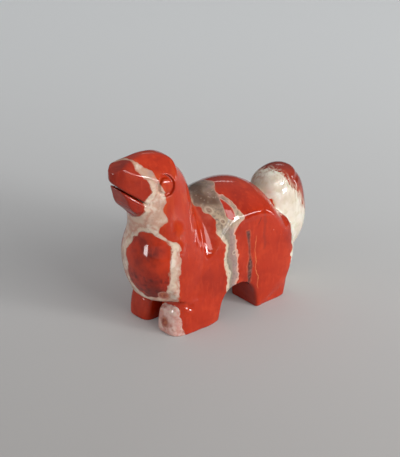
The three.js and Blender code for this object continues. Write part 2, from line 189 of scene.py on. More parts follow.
def outlineField(outline, u, v):
    # Distance to a closed outline in a plane, negative inside it.
    corners = np.array(outline, float)
    nearest = np.full(np.broadcast(u, v).shape, np.inf)
    inside = np.zeros(nearest.shape, bool)
    for (u0, v0), (u1, v1) in zip(corners, np.roll(corners, -1, 0)):
        du, dv = u1 - u0, v1 - v0
        if du == 0 and dv == 0:
            continue
        t = np.clip(((u - u0) * du + (v - v0) * dv) / (du * du + dv * dv), 0, 1)
        nearest = np.minimum(nearest, (u - u0 - t * du) ** 2 + (v - v0 - t * dv) ** 2)
        if dv != 0:
            inside ^= ((v0 > v) != (v1 > v)) & (u < u0 + (v - v0) / dv * du)
    return (np.where(inside, -1, 1) * np.sqrt(nearest)).astype(np.float32)


def join(a, b, soft):
    # Two forms as one, with a soft hollow where they meet.
    near = np.maximum(soft - np.abs(a - b), 0) / soft
    return np.minimum(a, b) - near**3 * soft / 6


def cut(a, tool, soft):
    # A form with a tool's shape taken out and the edge rounded.
    return -join(-a, tool, soft)


def keep(a, b, soft):
    # What two forms have in common, with the edge rounded.
    return -join(-a, -b, soft)


def boxField(x0, x1, y0, y1, z0, z1):
    x = np.maximum(x0 - xs, xs - x1)[:, None, None]
    y = np.maximum(y0 - ys, ys - y1)[None, :, None]
    z = np.maximum(z0 - zs, zs - z1)[None, None, :]
    return np.maximum(np.maximum(x, y), z)


# The head is ground flat at both cheeks and cut to its profile.
head = {
    "cheekLine": (
        (-10.4, 6.6), (-12.4, 5.0), (-14.7, 4.25), (-17.4, 3.75), (-19.8, 3.1), (-21.8, 2.2), (-23.2, 1.2),
    ),
    "noseX": -23.9,
    "backX": -6.0,
    "crownLine": ((-8.4, 34.8), (-11.0, 37.1), (-13.6, 38.4), (-16.4, 38.9), (-19.4, 38.8), (-22.4, 37.6)),
    "noseLine": ((-23.5, 37.0), (-23.8, 36.1), (-23.8, 34.2), (-22.7, 33.4), (-22.0, 32.4), (-21.5, 31.2)),
    "chinLine": ((-21.1, 29.9), (-20.3, 28.5), (-19.1, 27.1)),
    "throat": (-16.0, 21.4),
    "crownBackZ": 34.8,
}


def carveHead():
    left = curveThrough(head["cheekLine"], 24)
    right = (left * (1, -1))[::-1]
    plan = [*left, (head["noseX"], 0), *right, (head["backX"], -left[0, 1]), (head["backX"], left[0, 1])]
    crown, chin = curveThrough(head["crownLine"], 16), curveThrough(head["chinLine"], 8)
    throat = head["throat"]
    behind = [throat, (head["backX"], throat[1]), (head["backX"], head["crownBackZ"])]
    profile = [*crown, *head["noseLine"], *chin, *behind]
    field = limbField(limbs["head"])
    field = keep(field, outlineField(plan, xs[:, None], ys[None, :])[:, :, None], flow["cheek"])
    return keep(field, outlineField(profile, xs[:, None], zs[None, :])[:, None, :], flow["profile"])


# Both sides of the trunk are ground to a plane. Above the ridge line, as [x, z], they are
# ground at a slant that grows with the height, and is milder where the saddle vein crosses it.
flank = {"y": 8.35, "slope": 0.035}
ridge = {
    "line": (
        (-12.0, 9.0), (-7.0, 12.6), (-3.1, 17.0), (-0.9, 19.1), (1.4, 20.9), (4.2, 21.4), (7.6, 21.6),
        (12.0, 21.2), (17.0, 19.5),
    ),
    "slant": 0.5,
    "growth": 0.03,
    "milder": 0.2,
    "milderX": 1.9,
    "milderWidth": 1.5,
    "fadeX": (-8.5, -4.0),
}


def flankField():
    return np.abs(ys)[None, :, None] - flank["y"] - flank["slope"] * xs[:, None, None]


def ridgeField():
    line = curveThrough(ridge["line"], 64)
    over = zs[None, :] - np.interp(xs, line[:, 0], line[:, 1])[:, None]
    near = np.exp(-(((xs - ridge["milderX"]) / ridge["milderWidth"]) ** 2))
    slant = (ridge["slant"] - ridge["milder"] * near)[:, None]
    fade = np.clip((xs - ridge["fadeX"][0]) / (ridge["fadeX"][1] - ridge["fadeX"][0]), 0, 1)[:, None]
    drop = (slant * over + ridge["growth"] * np.maximum(over, 0) ** 2) * fade
    return ((flankField() + drop[:, None, :]) / math.hypot(1, ridge["slant"])).astype(np.float32)


brow = {"x": -21.4, "y": 2.4, "z": 37.2, "normal": (0.027, 0.771, 0.637)}


def browField():
    # A ground slant on each side of the head, from the snout's top to the eye.
    x = xs[:, None, None] - brow["x"]
    y = np.abs(ys)[None, :, None] - brow["y"]
    z = zs[None, None, :] - brow["z"]
    return x * brow["normal"][0] + y * brow["normal"][1] + z * brow["normal"][2]


arch = {"x": 2.25, "width": 9.3, "height": 6.9, "squareness": 2.5, "lowZ": -20, "steps": 40}


def archField():
    # The opening under the belly, from side to side.
    angle = np.linspace(0, math.pi, arch["steps"] + 1)
    power = 2 / arch["squareness"]
    half = arch["width"] / 2
    across = arch["x"] + half * np.sign(np.cos(angle)) * np.abs(np.cos(angle)) ** power
    up = arch["height"] * np.sin(angle).clip(0) ** power
    outline = [(arch["x"] - half, arch["lowZ"]), (arch["x"] + half, arch["lowZ"]), *zip(across, up)]
    return outlineField(outline, xs[:, None], zs[None, :])[:, None, :]


mouth = {
    "x": -17.7, "z": 29.65, "degrees": 36.5, "gap": 0.3, "lipX": -21.4, "frontGap": 1.0, "length": 8.0,
    "nearY": -3.0, "lean": 0.13,
}


def mouthField():
    # A fine saw cut that opens at the lips. The saw leaned, so it rises towards the far side.
    def along(x):
        return mouth["z"] + (mouth["x"] - x) * math.tan(math.radians(mouth["degrees"]))

    frontX = mouth["x"] - mouth["length"]
    fine, wide = mouth["gap"] / 2, mouth["frontGap"] / 2
    stations = ((mouth["x"], fine), (mouth["lipX"], fine), (frontX, wide))
    upper = [(x, along(x) + half) for x, half in stations]
    lower = [(x, along(x) - half) for x, half in reversed(stations)]
    outline = [*upper, *lower]
    rise = mouth["lean"] * (ys - mouth["nearY"])
    return np.stack([outlineField(outline, xs[:, None], zs[None, :] - up) for up in rise], 1)


notch = {  # as [x, y, z] on the left
    "line": (
        (-12.6, -1.0, 5.0), (-13.5, -3.4, 6.0), (-13.4, -4.8, 6.5), (-13.3, -5.9, 6.8), (-12.7, -7.1, 7.0),
        (-11.6, -8.1, 6.8), (-10.4, -8.5, 6.0),
    ),
    "radius": 0.6,
    "nearX": (-16, -8),
    "nearZ": (3, 9),
    "clear": 5.0,
}


def notchField():
    # A groove that parts the chest from each front foot, worked out only near its line.
    field = np.full((len(xs), len(ys), len(zs)), notch["clear"], np.float32)
    near = [
        np.flatnonzero((axis > low) & (axis < high))
        for axis, (low, high) in ((xs, notch["nearX"]), (zs, notch["nearZ"]))
    ]
    x, y, z = xs[near[0]][:, None, None], -np.abs(ys)[None, :, None], zs[near[1]][None, None, :]
    closest = np.full((len(near[0]), len(ys), len(near[1])), notch["clear"], np.float32)
    for start, stop in zip(notch["line"], notch["line"][1:]):
        run = np.subtract(stop, start)
        off = (x - start[0], y - start[1], z - start[2])
        u = np.clip(sum(a * b for a, b in zip(off, run)) / np.sum(run**2), 0, 1)
        away = np.sqrt(sum((a - u * b) ** 2 for a, b in zip(off, run)))
        closest = np.minimum(closest, away - notch["radius"])
    field[np.ix_(near[0], np.arange(len(ys)), near[1])] = closest
    return field


eye = {"x": -13.75, "z": 32.7, "diameter": 4.3, "narrow": 0.9, "groove": 0.7, "depth": 0.6, "innerY": 2}


def eyeField(stone):
    # A core drill's ring groove of even depth round each eye.
    away = np.hypot((xs[:, None] - eye["x"]) / eye["narrow"], zs[None, :] - eye["z"])
    middle = (eye["diameter"] - eye["groove"]) / 2
    ring = (np.abs(away - middle) - eye["groove"] / 2)[:, None, :]
    return np.maximum(np.maximum(ring, eye["innerY"] - np.abs(ys)[None, :, None]), -stone - eye["depth"])


legGap = {"y": 0.2, "width": 2.2, "foreHeight": 7.0, "hindHeight": 6.0, "backX": 18.0}


def cutLegGaps(stone):
    # The gaps between the left and right feet, in front of the arch and behind it.
    inner, outer = legGap["y"] - legGap["width"] / 2, legGap["y"] + legGap["width"] / 2
    fore = boxField(-far, arch["x"], inner, outer, -far, legGap["foreHeight"])
    hind = boxField(arch["x"], legGap["backX"], inner, outer, -far, legGap["hindHeight"])
    return cut(cut(stone, fore, flow["legGap"]), hind, flow["legGap"])


def carveStone():
    stone = keep(limbField(limbs["torso"]), flankField(), flow["flank"])
    stone = keep(stone, ridgeField(), flow["ridge"])
    for name in ("forefoot", "hindfoot"):
        for side in (-1, 1):
            stone = join(stone, limbField(limbs[name], side * limbs[name]["side"]), flow["feet"])
    stone = cutLegGaps(cut(stone, archField(), flow["arch"]))
    upper = keep(join(limbField(limbs["neck"]), carveHead(), flow["head"]), browField(), flow["brow"])
    stone = join(stone, upper, flow["neck"])
    stone = join(stone, limbField(limbs["tail"]), flow["tail"])
    stone = cut(stone, notchField(), flow["notch"])
    stone = cut(stone, mouthField(), flow["lips"])
    stone = cut(stone, eyeField(stone), flow["eye"])
    return keep(stone, -zs[None, None, :] + np.zeros_like(stone), flow["sole"])


stone = carveStone()
print("form carved", stone.shape)


# The mineral bodies. Red fragments of jasper are cemented by veins of quartz and chalcedony.
# A border is a line of [x, z] places on the left flank unless noted.
def lookUp(outline):
    # A closed outline as a field that can be read anywhere near the stone.
    step, low = 0.2, (-36.0, -16.0)
    u, v = np.arange(low[0], 40.0, step), np.arange(low[1], 46.0, step)
    table = outlineField(outline, u[:, None], v[None, :])

    def field(a, b):
        i, j = (
            np.clip((q - lowest) / step, 0, size - 1.001)
            for q, lowest, size in zip((a, b), low, table.shape)
        )
        i0, j0 = i.astype(int), j.astype(int)
        di, dj = i - i0, j - j0
        first = table[i0, j0] * (1 - dj) + table[i0, j0 + 1] * dj
        second = table[i0 + 1, j0] * (1 - dj) + table[i0 + 1, j0 + 1] * dj
        return first * (1 - di) + second * di

    return field


def closedAt(line, x):
    curve = [tuple(point) for point in curveThrough(line, 8 * len(line))]
    return [*curve, (x, curve[-1][1]), (x, curve[0][1])]


def closedLoop(points):
    around = [*points, *points, *points]
    curve = curveThrough(around, 6 * (len(around) - 1))
    return [tuple(point) for point in curve[6 * len(points) : 12 * len(points)]]


def strip(line, width):
    curve = curveThrough(line, 24)
    return [*(curve - (width / 2, 0)), *(curve + (width / 2, 0))[::-1]]


def ball(x, y, z, chip):
    middle = chip["middle"]
    return np.sqrt((x - middle[0]) ** 2 + (y - middle[1]) ** 2 + (z - middle[2]) ** 2) - chip["radius"]


uneven = ((6.0, 0.22), (2.3, 0.11), (1.1, 0.05))  # wavelengths and heights of a vein's uneven edge


def wander(x, y, z, seed, share=1.0):
    # How far a vein's edge strays from its line, the same at every run.
    chance = np.random.default_rng(seed)
    total = np.zeros_like(x)
    for length, height in uneven:
        for direction in chance.normal(size=(3, 3)):
            direction *= 2 * math.pi / length / np.linalg.norm(direction)
            phase = chance.uniform(0, 2 * math.pi)
            total += height * share * np.sin(x * direction[0] + y * direction[1] + z * direction[2] + phase)
    return total


faceVein = {
    "front": (
        (-18.0, 42.0), (-18.1, 39.4), (-18.3, 37.8), (-18.7, 36.8), (-18.4, 35.9), (-17.8, 34.7),
        (-17.2, 33.4), (-17.1, 32.3), (-17.6, 31.3), (-18.2, 30.4), (-18.2, 28.8), (-18.0, 27.4),
        (-18.6, 25.4),
    ),
    "back": (
        (-17.3, 42.0), (-17.1, 39.4), (-17.0, 38.0), (-16.8, 37.3), (-16.3, 36.5), (-15.8, 35.4),
        (-15.3, 34.1), (-14.5, 32.6), (-14.2, 30.7), (-14.5, 29.4), (-14.9, 28.2), (-14.6, 27.1),
        (-14.1, 26.1), (-14.7, 24.7), (-15.3, 23.8), (-14.9, 23.0), (-13.7, 21.9), (-12.7, 21.0),
        (-12.4, 19.6), (-13.1, 18.3), (-12.4, 17.6), (-12.7, 16.7), (-13.4, 15.6), (-12.9, 14.7),
        (-12.9, 12.4), (-13.1, 9.7), (-13.2, 8.4), (-13.1, 6.9),
    ),
    "turn": {"share": 0.6, "halfWidth": 3.2, "lowZ": 32.0, "highZ": 36.5},  # it crosses the snout askew
    "farY": 5.4,  # on the right chest it ends here, below topZ
    "topZ": 24.2,
}
jawsAt = lookUp(closedAt(faceVein["front"], -far))
frontAt = lookUp(closedAt(faceVein["back"], -far))


def faceFields(x, y, z):
    # The jaws, and all the front of the carving up to the vein's rear edge.
    turn = faceVein["turn"]
    askew = turn["share"] * np.clip((z - turn["lowZ"]) / (turn["highZ"] - turn["lowZ"]), 0, 1)
    turned = x + askew * (np.clip(y, -turn["halfWidth"], turn["halfWidth"]) + turn["halfWidth"])
    jaws = jawsAt(turned, z) + wander(x, y, z, 11, 0.7)
    front = frontAt(turned, z) + wander(x, y, z, 12)
    farSide = np.maximum(faceVein["farY"] - y, z - faceVein["topZ"]) + wander(x, y, z, 13)
    upper = mouth["z"] - z - (x - mouth["x"]) * math.tan(math.radians(mouth["degrees"]))
    return jaws, np.maximum(front, -farSide), upper


chest = {  # seen from ahead and a little from the left, as [across, z]
    "outline": (
        (-1.6, 22.9), (-3.7, 22.6), (-6.0, 21.6), (-7.1, 20.4), (-7.5, 19.0), (-7.6, 17.1),
        (-7.5, 15.1), (-7.2, 12.9), (-6.6, 11.1), (-5.0, 9.4), (-2.8, 8.7), (-0.7, 9.0), (0.9, 10.3),
        (1.9, 12.1), (2.3, 14.6), (2.5, 16.6), (1.5, 19.0), (0.0, 21.1),
    ),
    "degrees": 22.0,
    "x": -17.0,
    "innerX": -13.9,
    "chip": {"middle": (-15.0, -5.4, 9.7), "radius": 1.0},
}
chestAt = lookUp(closedLoop(chest["outline"]))


def chestFields(x, y, z):
    # The chest's dark fragment and the small chip at its lower corner.
    ahead = math.radians(chest["degrees"])
    across = y * math.cos(ahead) - (x - chest["x"]) * math.sin(ahead)
    fragment = np.maximum(chestAt(across, z) + wander(x, y, z, 14, 0.7), x - chest["innerX"])
    return fragment, ball(x, y, z, chest["chip"]) + wander(x, y, z, 22, 0.5)


toe = {"x": -11.7, "topZ": 6.2, "lean": -1.1, "chip": {"middle": (-13.9, -4.3, 2.5), "radius": 0.95}}


def toeFields(x, y, z):
    # The left front toe's quartz and its brown chip.
    quartz = np.maximum(x - toe["x"] - toe["lean"] * z / toe["topZ"], z - toe["topZ"])
    quartz = np.maximum(quartz + wander(x, y, z, 15, 0.8), y)
    return quartz, ball(x, y, z, toe["chip"]) + wander(x, y, z, 23, 0.5)


leftFlankY = -8.0
saddle = {
    "front": (
        (-6.6, 30.0), (-6.3, 25.4), (-5.0, 24.7), (-4.1, 24.1), (-4.2, 23.5), (-3.7, 22.9), (-2.8, 22.0),
        (-2.6, 21.0), (-2.8, 19.8), (-2.5, 18.4), (-1.8, 17.0), (-1.6, 13.3), (-1.0, 10.2), (-0.7, 7.5),
        (-0.6, 5.0), (-0.6, -2.0),
    ),
    "back": (
        (0.6, -2.0), (1.6, 5.0), (2.6, 8.9), (2.1, 11.5), (2.2, 13.0), (1.8, 16.0), (1.6, 19.2),
        (2.8, 20.6), (3.9, 21.2), (3.8, 22.0), (3.2, 22.9), (2.3, 24.1), (1.1, 25.2), (0.1, 25.8),
        (-0.9, 26.2), (0.2, 27.2), (0.9, 30.0),
    ),
    "degrees": 16.7,  # its slant through the stone
    "lens": (
        (-0.7, 25.2), (-0.1, 25.0), (0.5, 24.4), (1.0, 23.5), (1.5, 22.7), (1.5, 22.0), (0.9, 21.8),
        (0.2, 22.2), (-0.2, 23.1), (-0.5, 24.0),
    ),
    "lensDepth": 4.5,
}
behindFrontAt = lookUp(closedAt(saddle["front"], far))
rearAt = lookUp(closedAt(saddle["back"], far))
lensAt = lookUp(closedLoop(saddle["lens"]))


def saddleFields(x, y, z):
    # All behind the saddle vein's front edge, all behind its rear edge, and the red lens in it.
    slanted = x - math.tan(math.radians(saddle["degrees"])) * (y - leftFlankY)
    behindFront = behindFrontAt(slanted, z) + wander(x, y, z, 16)
    rear = rearAt(slanted, z) + wander(x, y, z, 17)
    lens = lensAt(slanted, z) + wander(x, y, z, 18, 0.5)
    return behindFront, rear, np.maximum(lens, y - leftFlankY - saddle["lensDepth"])


flankVein = {"line": ((4.5, 18.4), (4.8, 15.0), (5.1, 11.0), (4.7, 5.0)), "width": 1.1, "depth": 5.0}
flankVeinAt = lookUp(strip(flankVein["line"], flankVein["width"]))


def flankVeinField(x, y, z):
    return np.maximum(flankVeinAt(x, z) + wander(x, y, z, 19, 0.5), y - leftFlankY - flankVein["depth"])


tail = {
    "rumpLine": (
        (12.6, 30.0), (13.2, 23.4), (14.4, 20.4), (16.2, 17.4), (16.7, 13.0), (16.2, 7.0), (15.6, -2.0),
    ),
    "tipLine": (
        (8.0, 25.2), (14.4, 25.8), (15.6, 26.4), (16.6, 26.8), (17.4, 26.6), (18.1, 26.0), (18.8, 24.8),
        (19.9, 23.1), (20.4, 21.9), (20.8, 20.8), (22.2, 18.6), (23.2, 17.1), (29.0, 10.3),
    ),
    "tipTilt": {"share": 0.5, "y": -3.8},  # the tip's border falls by this towards the right
}
tipCurve = [tuple(point) for point in curveThrough(tail["tipLine"], 48)]
rumpAt = lookUp(closedAt(tail["rumpLine"], far))
tipAt = lookUp([*tipCurve, (far, tipCurve[-1][1]), (far, far), (tipCurve[0][0], far)])


def tailFields(x, y, z):
    # The tail behind the rump, and its red tip.
    tilt = tail["tipTilt"]
    rump = rumpAt(x, z) + wander(x, y, z, 20)
    return rump, tipAt(x, z + tilt["share"] * (y - tilt["y"])) + wander(x, y, z, 21)


def mineralFields(x, y, z):
    # Distance to every mineral body's border, negative inside the body.
    jaws, front, upper = faceFields(x, y, z)
    fragment, chestChip = chestFields(x, y, z)
    quartz, toeChip = toeFields(x, y, z)
    behindFront, rear, lens = saddleFields(x, y, z)
    vein = flankVeinField(x, y, z)
    rump, tip = tailFields(x, y, z)
    inside = {
        "neck_and_shoulder_jasper": (-front, -quartz, -behindFront),
        "snout_jasper": (jaws, upper),
        "lower_jaw_jasper": (jaws, -upper),
        "face_and_chest_vein": (front, -jaws, -fragment, -chestChip),
        "chest_jasper": (front, fragment, -chestChip),
        "chest_chip": (front, chestChip),
        "toe_quartz": (quartz, -front, -toeChip),
        "toe_chip": (quartz, toeChip, -front),
        "saddle_vein": (behindFront, -rear, -lens, -front),
        "saddle_lens_jasper": (behindFront, -rear, lens, -front),
        "flank_vein": (rear, vein),
        "hindquarter_jasper": (rear, -vein, -rump),
        "tail_vein": (rear, rump, -tip),
        "tail_tip_jasper": (rear, rump, tip),
    }
    parts = {name: np.maximum.reduce(fields) for name, fields in inside.items()}
    edges = {
        "faceInner": np.minimum(jaws, fragment),
        "saddleInner": -behindFront,
        "saddleOuter": rear,
        "tailInner": -rump,
        "tailOuter": tip,
    }
    return parts, edges


slots = {entry["node"]: entry["material_slot"] for entry in frame["record"]["subparts"]}
names = list(slots)
lowestPoint = np.array((xs[0], ys[0], zs[0]))


def readStone(points):
    # The carved form's field between the points of the grid.
    at = (points - lowestPoint) / grid["spacing"]
    at = np.clip(at, 0, np.array(stone.shape) - 1.001)
    low = at.astype(int)
    part = at - low
    total = 0
    for corner in np.ndindex(2, 2, 2):
        weight = np.prod(np.where(corner, part, 1 - part), axis=1)
        total = total + weight * stone[tuple((low + corner).T)]
    return total


def stoneNormals(points):
    # Which way the polished surface faces, and the field's slope there.
    reach = grid["spacing"] * 0.8
    steps = np.eye(3) * reach
    slope = np.stack([readStone(points + step) - readStone(points - step) for step in steps], 1) / (2 * reach)
    length = np.maximum(np.linalg.norm(slope, axis=1, keepdims=True), 1e-3)
    return slope / length, length


def settle(points):
    # Brings points onto the polished surface.
    for _ in range(3):
        normals, length = stoneNormals(points)
        move = readStone(points)[:, None] / length
        points = points - normals * np.clip(move, -grid["spacing"], grid["spacing"])
    return points


def fieldsAt(points):
    parts, edges = mineralFields(*points.astype(np.float32).T)
    return np.stack([parts[name] for name in names]), edges


def settleSeams(points, first, second):
    # Brings points on a seam onto the line where two mineral bodies meet on the surface.
    rows = np.arange(len(points))
    reach = 0.05

    def difference(at):
        fields = fieldsAt(at)[0]
        return fields[first, rows] - fields[second, rows]

    for _ in range(2):
        here = difference(points)
        slope = np.stack([difference(points + step) - here for step in np.eye(3) * reach], 1) / reach
        normals, _length = stoneNormals(points)
        slope -= normals * np.sum(slope * normals, 1, keepdims=True)
        size = np.sum(slope**2, 1)
        move = -slope * (here / np.maximum(size, 0.2))[:, None]
        longest = np.linalg.norm(move, axis=1, keepdims=True)
        move *= np.minimum(1, 0.5 * grid["spacing"] / np.maximum(longest, 1e-9))
        points = settle(points + move)
    return points


def mendLabels(kinds):
    # Bodies that would touch only along an edge are joined or parted there, so every mesh closes.
    for _ in range(12):
        found = 0
        for axis in range(3):
            sides = [n for n in range(3) if n != axis]
            views, offsets = [], []
            for corner in np.ndindex(2, 2):
                offset = np.zeros(3, int)
                offset[sides] = corner
                view = [slice(None)] * 3
                for side, start in zip(sides, corner):
                    view[side] = slice(start, kinds.shape[side] - 1 + start)
                views.append(kinds[tuple(view)])
                offsets.append(offset)
            a, b, c, d = views
            crossed = ((a == d) & (a != b) & (a != c)) | ((b == c) & (b != a) & (b != d))
            for cell in np.argwhere(crossed):
                places = [tuple(cell + offset) for offset in offsets]
                labels = [int(kinds[place]) for place in places]
                pair, others = ((0, 3), (1, 2)) if labels[0] == labels[3] else ((1, 2), (0, 3))
                if 0 in (labels[others[0]], labels[others[1]]) and labels[pair[0]] > 0:
                    weakest = places[max(pair, key=lambda k: stone[places[k]])]
                    if stone[weakest] > -grid["spacing"]:
                        kinds[weakest] = 0
                    else:
                        air = others[0] if labels[others[0]] == 0 else others[1]
                        kinds[places[air]] = labels[pair[0]]
                else:
                    kinds[places[others[0]]] = labels[pair[0]]
                found += 1
        if found == 0:
            break


def labelStone():
    # Which mineral body each point of the grid is in, counted from 1, with 0 for air.
    solid = np.argwhere(stone < 0)
    places = np.stack([axis[solid[:, k]] for k, axis in enumerate((xs, ys, zs))], 1)
    fields = fieldsAt(places)[0]
    kinds = np.zeros(stone.shape, np.int8)
    kinds[tuple(solid.T)] = fields.argmin(0) + 1
    mendLabels(kinds)
    order = np.full(stone.shape, -1, np.int32)
    order[tuple(solid.T)] = np.arange(len(solid))
    return kinds, fields, order


def mixedCells(kinds):
    # The cells that hold more than one body, and each one's number.
    lowest = kinds[:-1, :-1, :-1].copy()
    highest = lowest.copy()
    for corner in np.ndindex(2, 2, 2):
        view = kinds[tuple(slice(c, n - 1 + c) for c, n in zip(corner, kinds.shape))]
        lowest, highest = np.minimum(lowest, view), np.maximum(highest, view)
    cells = np.argwhere(lowest != highest)
    numbers = np.full(lowest.shape, -1, np.int32)
    numbers[tuple(cells.T)] = np.arange(len(cells))
    return cells, numbers


def averageCrossings(kinds, fields, order, cells):
    # One point in each cell, amid the places where its edges cross the surface, or else a seam.
    sums = np.zeros((2, len(cells), 3))
    counts = np.zeros((2, len(cells)))
    for axis in range(3):
        for offset in np.ndindex(2, 2):
            start = cells + np.insert(offset, axis, 0)
            stop = start + np.eye(3, dtype=int)[axis]
            a, b = kinds[tuple(start.T)].astype(int), kinds[tuple(stop.T)].astype(int)
            surface = (a == 0) != (b == 0)
            wall = (a != b) & (a > 0) & (b > 0)
            for which, mask in enumerate((surface, wall)):
                s, e = start[mask], stop[mask]
                i, j, ka, kb = order[tuple(s.T)], order[tuple(e.T)], a[mask] - 1, b[mask] - 1
                if which == 0:
                    low, high = stone[tuple(s.T)], stone[tuple(e.T)]
                else:
                    low, high = fields[ka, i] - fields[kb, i], fields[ka, j] - fields[kb, j]
                share = np.clip(low / np.where(low == high, 1, low - high), 0, 1)
                if which == 1:
                    share[(i < 0) | (j < 0)] = 0.5
                sums[which][mask] += s + share[:, None] * (e - s)
                counts[which][mask] += 1
    onSurface = counts[0] > 0
    kind = np.where(onSurface, 0, 1)
    rows = np.arange(len(cells))
    points = sums[kind, rows] / counts[kind, rows][:, None]
    return points * grid["spacing"] + lowestPoint, onSurface


def sharpenSeams(kinds, cells, points, onSurface):
    # Brings the points of each seam between two bodies onto its true line.
    corners = np.stack([kinds[tuple((cells + corner).T)] for corner in np.ndindex(2, 2, 2)], 1)
    top = corners.max(1)
    bottom = np.where(corners > 0, corners, 99).min(1)
    middle = np.any((corners > 0) & (corners != top[:, None]) & (corners != bottom[:, None]), 1)
    seam = onSurface & (top != bottom) & ~middle
    points[seam] = settleSeams(points[seam], top[seam].astype(int) - 1, bottom[seam].astype(int) - 1)


def quadsOfBodies(kinds, numbers):
    # Each body's quads, and whether each lies on the surface. Neighbours share their walls.
    faces = {name: [] for name in names}
    for axis in range(3):
        b, c = np.eye(3, dtype=int)[(axis + 1) % 3], np.eye(3, dtype=int)[(axis + 2) % 3]
        ahead = [slice(None)] * 3
        behind = [slice(None)] * 3
        ahead[axis], behind[axis] = slice(1, None), slice(None, -1)
        first, second = kinds[tuple(behind)], kinds[tuple(ahead)]
        edges = np.argwhere(first != second)
        around = (edges - b - c, edges - c, edges, edges - b)
        quads = np.stack([numbers[tuple(cell.T)] for cell in around], 1)
        a, z = first[tuple(edges.T)], second[tuple(edges.T)]
        for number, name in enumerate(names, 1):
            faces[name].append((quads[a == number], z[a == number] == 0))
            faces[name].append((quads[z == number][:, ::-1], a[z == number] == 0))
    return {name: [np.concatenate(kept) for kept in zip(*rows)] for name, rows in faces.items()}


def netOfMinerals():
    # One net of quads over the stone and its seams.
    kinds, fields, order = labelStone()
    cells, numbers = mixedCells(kinds)
    points, onSurface = averageCrossings(kinds, fields, order, cells)
    points[onSurface] = settle(points[onSurface])
    sharpenSeams(kinds, cells, points, onSurface)
    return points, quadsOfBodies(kinds, numbers)


def meshOf(name, corners, quads, shown):
    # A mesh of quads with the way that each corner faces.
    mesh = bpy.data.meshes.new(name)
    mesh.vertices.add(len(corners))
    mesh.vertices.foreach_set("co", corners.astype(np.float32).ravel())
    mesh.loops.add(quads.size)
    mesh.loops.foreach_set("vertex_index", quads.astype(np.int32).ravel())
    mesh.polygons.add(len(quads))
    mesh.polygons.foreach_set("loop_start", np.arange(0, quads.size, 4, dtype=np.int32))
    mesh.update(calc_edges=True)
    mesh.validate()
    mesh.shade_smooth()
    mesh.normals_split_custom_set(shown.reshape(-1, 3).astype(np.float32))
    return mesh


def makePieces():
    points, faces = netOfMinerals()
    normals = stoneNormals(points)[0]
    made = {}
    for name, (quads, outer) in faces.items():
        box = points[quads]
        flat = np.cross(box[:, 2] - box[:, 0], box[:, 3] - box[:, 1])
        flat /= np.maximum(np.linalg.norm(flat, axis=1, keepdims=True), 1e-12)
        shown = np.where(outer[:, None, None], normals[quads], flat[:, None, :])
        used, compact = np.unique(quads, return_inverse=True)
        corners = (points[used] - (carvingMiddleX, 0, 0)) * metre
        mesh = meshOf(name, corners, compact.reshape(quads.shape), shown)
        fields, edges = fieldsAt(points[used])
        measures = {"rim": -fields[names.index(name)], **edges}  # what the materials read, in millimetres
        for label, values in measures.items():
            mesh.attributes.new(label, "FLOAT", "POINT").data.foreach_set("value", values.astype(np.float32))
        piece = bpy.data.objects.new("carved_" + name, mesh)
        bpy.context.scene.collection.objects.link(piece)
        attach(piece, "root")
        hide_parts(name)
        made[name] = piece
    return made


pieces = makePieces()
print("pieces made", {name: len(piece.data.polygons) for name, piece in pieces.items()})


def linear(colour):
    # An sRGB hex colour as the linear numbers that Blender takes.
    parts = (int(colour[k : k + 2], 16) / 255 for k in (0, 2, 4))
    return (*(c / 12.92 if c <= 0.04045 else ((c + 0.055) / 1.055) ** 2.4 for c in parts), 1.0)


def addNode(tree, kind, settings=None, sockets=None):
    # One node with its settings, and with a value or a link in each named socket.
    made = tree.nodes.new(kind)
    for label, value in (settings or {}).items():
        setattr(made, label, value)
    for socket, value in (sockets or {}).items():
        if isinstance(value, bpy.types.NodeSocket):
            tree.links.new(value, made.inputs[socket])
        else:
            made.inputs[socket].default_value = value
    return made


# Marks in the stone. Each gives a share from 0 to 1, and all lengths are in millimetres.
soft = {"interpolation_type": "SMOOTHSTEP"}


def patches(tree, across, low, high, seed, stretch=(1, 1, 1), detail=3.0):
    # Cloudy patches, about one every `across`.
    place = addNode(tree, "ShaderNodeTexCoord").outputs["Object"]
    scale = tuple(share / (across * metre) for share in stretch)
    shift = (seed * 3.1, seed * 1.7, seed * -2.3)
    spaced = addNode(tree, "ShaderNodeMapping", None, {0: place, 1: shift, 3: scale}).outputs[0]
    cloud = addNode(tree, "ShaderNodeTexNoise", None, {"Vector": spaced, "Scale": 1.0, "Detail": detail})
    return addNode(tree, "ShaderNodeMapRange", soft, {0: cloud.outputs[0], 1: low, 2: high}).outputs[0]


def specks(tree, apart, across, seed):
    # Small round specks, one every `apart`.
    place = addNode(tree, "ShaderNodeTexCoord").outputs["Object"]
    sockets = {0: place, 1: (seed, seed * 2, seed * 3), 3: (1 / (apart * metre),) * 3}
    spaced = addNode(tree, "ShaderNodeMapping", None, sockets).outputs[0]
    cells = addNode(tree, "ShaderNodeTexVoronoi", None, {"Vector": spaced, "Scale": 1.0})
    spread = {0: cells.outputs["Distance"], 1: 0.5 * across / apart, 2: 0.25 * across / apart}
    return addNode(tree, "ShaderNodeMapRange", soft, spread).outputs[0]


